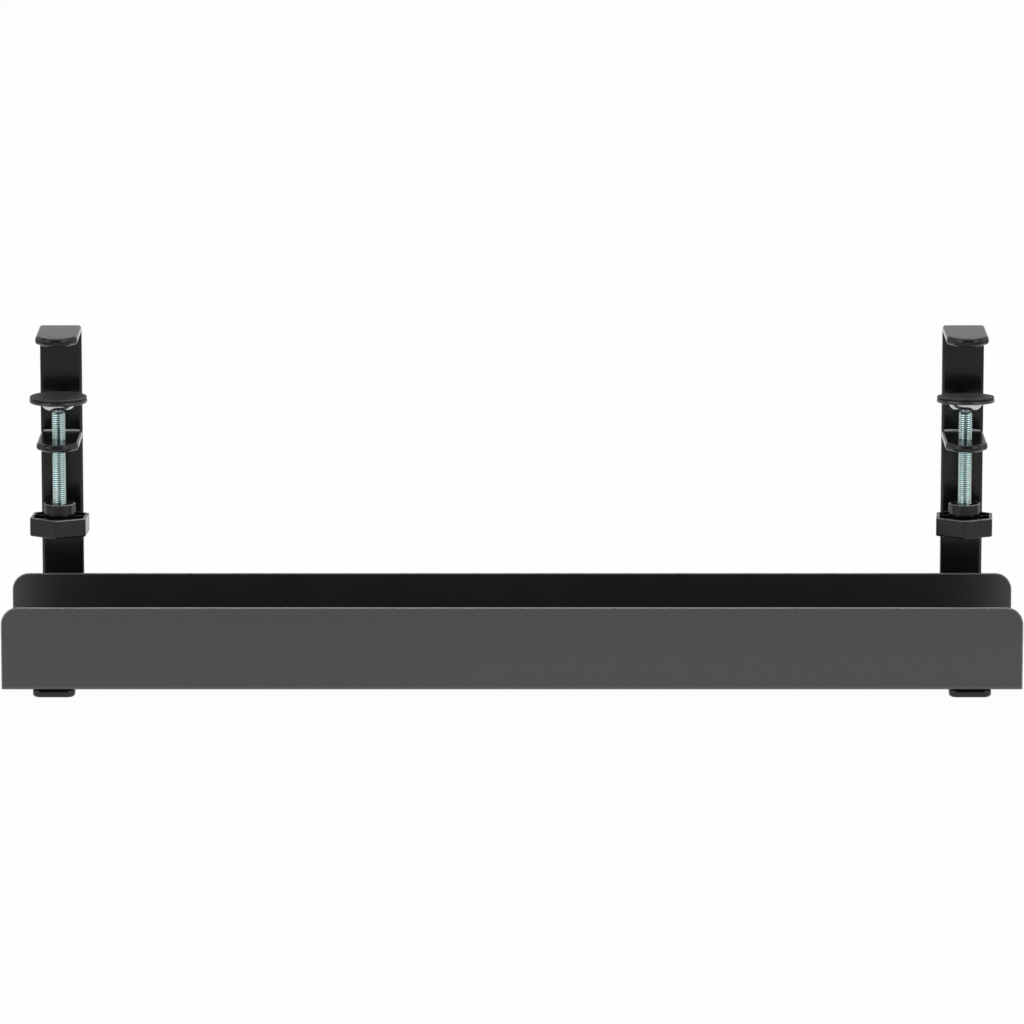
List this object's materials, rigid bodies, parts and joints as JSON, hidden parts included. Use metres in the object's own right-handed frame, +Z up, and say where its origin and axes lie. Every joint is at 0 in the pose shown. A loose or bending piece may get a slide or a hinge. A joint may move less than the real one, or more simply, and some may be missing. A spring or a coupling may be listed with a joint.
{
  "type": "under desk cable tray",
  "caption": "Long U-shaped steel cable tray hung under a desk by clamp brackets, each with a top jaw, a screw, a swivelling rubber pad and a knob.",
  "frame": {"origin": "middle of the part's footprint, on the plane of the bracket legs' undersides", "axes": "+X along the tray, to the right seen from the front; +Y from the tray's front wall to the brackets' arms; +Z up"},
  "size_m": [0.6, 0.111, 0.2051],
  "materials": {
    "powder_coated_steel": "fine powder coat, satin",
    "zinc_plated_steel": "bright zinc plating",
    "bare_steel": "ground and polished",
    "black_plated_steel": "gloss black plating",
    "rubber": "matt, fine grain",
    "moulded_plastic": "satin moulded plastic"
  },
  "bodies": {
    "frame": {"tray_channel": "powder_coated_steel", "left_bracket": "powder_coated_steel", "left_lower_jaw": "powder_coated_steel", "left_jaw_weld": "powder_coated_steel", "left_floor_screws": "black_plated_steel", "left_floor_washers": "black_plated_steel", "right_bracket": "powder_coated_steel", "right_lower_jaw": "powder_coated_steel", "right_jaw_weld": "powder_coated_steel", "right_floor_screws": "black_plated_steel", "right_floor_washers": "black_plated_steel"},
    "left_slider": {"left_ball_stud": "bare_steel"},
    "left_screw": {"left_clamp_screw": "zinc_plated_steel", "left_knob": "moulded_plastic", "left_knob_nut": "zinc_plated_steel"},
    "left_pad": {"left_rubber_pad": "rubber", "left_pad_plate": "powder_coated_steel", "left_socket_cup": "black_plated_steel"},
    "right_slider": {"right_ball_stud": "bare_steel"},
    "right_screw": {"right_clamp_screw": "zinc_plated_steel", "right_knob": "moulded_plastic", "right_knob_nut": "zinc_plated_steel"},
    "right_pad": {"right_rubber_pad": "rubber", "right_pad_plate": "powder_coated_steel", "right_socket_cup": "black_plated_steel"}
  },
  "joints": [
    {"name": "left_screw_travel", "type": "slide", "parent": "frame", "child": "left_slider", "axis": [0, 0, 1], "range_m": [-0.01625, 0.03]},
    {"name": "left_knob_turn", "type": "hinge", "parent": "left_slider", "child": "left_screw", "pos_m": [-0.2695, 0.0225, 0.093], "axis": [0, 0, 1], "range_deg": [-4681, 8641]},
    {"name": "left_pad_tilt", "type": "hinge", "parent": "left_slider", "child": "left_pad", "pos_m": [-0.2695, 0.0225, 0.1608], "axis": [1, 0, 0], "range_deg": [-10, 10]},
    {"name": "right_screw_travel", "type": "slide", "parent": "frame", "child": "right_slider", "axis": [0, 0, 1], "range_m": [-0.01625, 0.03]},
    {"name": "right_knob_turn", "type": "hinge", "parent": "right_slider", "child": "right_screw", "pos_m": [0.2695, 0.0225, 0.093], "axis": [0, 0, 1], "range_deg": [-4681, 8641]},
    {"name": "right_pad_tilt", "type": "hinge", "parent": "right_slider", "child": "right_pad", "pos_m": [0.2695, 0.0225, 0.1608], "axis": [1, 0, 0], "range_deg": [-6.5, 13.5]}
  ],
  "couplings": [
    {"joint": "left_knob_turn", "follows": "left_screw_travel", "rad_per_m": 5026.5},
    {"joint": "right_knob_turn", "follows": "right_screw_travel", "rad_per_m": 5026.5}
  ]
}
